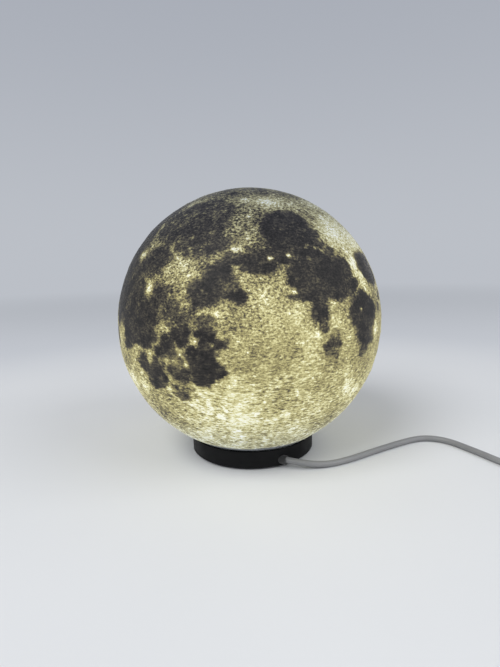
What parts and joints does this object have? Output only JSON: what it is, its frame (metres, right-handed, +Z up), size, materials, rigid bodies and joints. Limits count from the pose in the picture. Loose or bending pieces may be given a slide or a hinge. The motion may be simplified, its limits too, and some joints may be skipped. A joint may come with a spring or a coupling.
{
  "type": "moon lamp",
  "caption": "Printed moon globe resting in a low round black base, lit from inside by LEDs, with a thin lead, in-line push switch and USB plug.",
  "frame": {"origin": "on the table, under the globe's centre", "axes": "+Z up; -Y is the front, where the print's near side faces; the lead leaves at the front right"},
  "size_m": [0.3127, 0.15, 0.1523],
  "materials": {
    "printed_globe": "fine-layered printed wall, lit from inside, with the Moon's face in relief and tone",
    "white_plastic": "plain printed ring",
    "clear_rubber": "soft translucent ring",
    "black_plastic": "fine moulded grain",
    "screw_steel": "plated",
    "foot_rubber": "matte",
    "light_board": "white solder mask on aluminium",
    "led": "yellow phosphor in a white frame",
    "opal_plastic": "opal, lit from inside",
    "circuit_board": "green solder mask",
    "board_parts": "moulded",
    "red_sleeve": "soft vinyl",
    "black_sleeve": "soft vinyl",
    "grey_lead": "soft vinyl, slightly silky",
    "tie_band": "ribbed band",
    "grey_plastic": "fine moulded grain",
    "button_plastic": "smooth",
    "contact_metal": "plated",
    "plug_metal": "nickel plated",
    "tongue_plastic": "plain moulded"
  },
  "bodies": {
    "base": {"base_shell": "black_plastic", "base_cover": "black_plastic", "cover_screws": "screw_steel", "foot_pads": "foot_rubber", "led_board": "light_board", "led_chips": "led", "led_board_screws": "screw_steel", "light_diffuser": "opal_plastic", "driver_board": "circuit_board", "driver_parts": "board_parts", "driver_screws": "screw_steel", "red_wires": "red_sleeve", "black_wires": "black_sleeve", "cord_grommet": "foot_rubber", "cord_lead": "grey_lead", "cord_tail": "grey_lead", "cord_coil": "grey_lead", "cord_end": "grey_lead", "coil_tie": "tie_band", "switch_lower_shell": "grey_plastic", "switch_upper_shell": "grey_plastic", "switch_spring": "screw_steel", "switch_core": "board_parts", "switch_contacts": "contact_metal", "switch_screws": "screw_steel", "switch_red_wires": "red_sleeve", "switch_black_wire": "black_sleeve", "plug_body": "grey_plastic", "plug_sleeve": "plug_metal", "plug_tongue": "tongue_plastic", "plug_contacts": "contact_metal"},
    "seat": {"seat_ring": "clear_rubber"},
    "globe": {"globe_shell": "printed_globe", "globe_collar": "white_plastic"},
    "button": {"switch_button": "button_plastic"}
  },
  "joints": [
    {"name": "globe_turn", "type": "hinge", "parent": "base", "child": "seat", "pos_m": [0, 0, 0.0077], "axis": [0, 0, 1], "continuous": true},
    {"name": "globe_lift", "type": "slide", "parent": "seat", "child": "globe", "axis": [0, 0, 1], "range_m": [0, 0.04]},
    {"name": "switch_press", "type": "slide", "parent": "base", "child": "button", "axis": [0, 0, -1], "range_m": [0, 0.0012], "stiffness_N_per_m": 300, "deforming": ["switch_spring"]}
  ]
}
